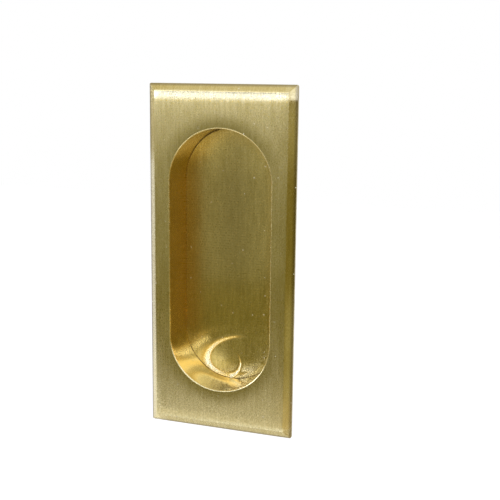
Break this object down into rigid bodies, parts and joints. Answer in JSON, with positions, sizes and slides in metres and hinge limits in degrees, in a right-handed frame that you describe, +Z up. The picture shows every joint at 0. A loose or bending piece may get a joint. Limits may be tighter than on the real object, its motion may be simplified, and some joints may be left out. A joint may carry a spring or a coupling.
{
  "type": "flush pull",
  "caption": "Rectangular bevelled brass flush pull with a deep round-ended finger recess, let into a sliding or pocket door.",
  "frame": {"origin": "centre of the plate's rear face, the plane that seats on the face of the door", "axes": "+X across the pull, +Y into the door, +Z up along the pull's height, so the front face looks along -Y"},
  "size_m": [0.0444, 0.0138, 0.1016],
  "materials": {
    "satin_brass": "satin brass plate grained lengthwise, with a smooth polished recess wall",
    "brushed_brass": "brass brushed lengthwise"
  },
  "bodies": {
    "root": {"pull_body": "satin_brass", "floor_plate": "brushed_brass"}
  },
  "joints": []
}
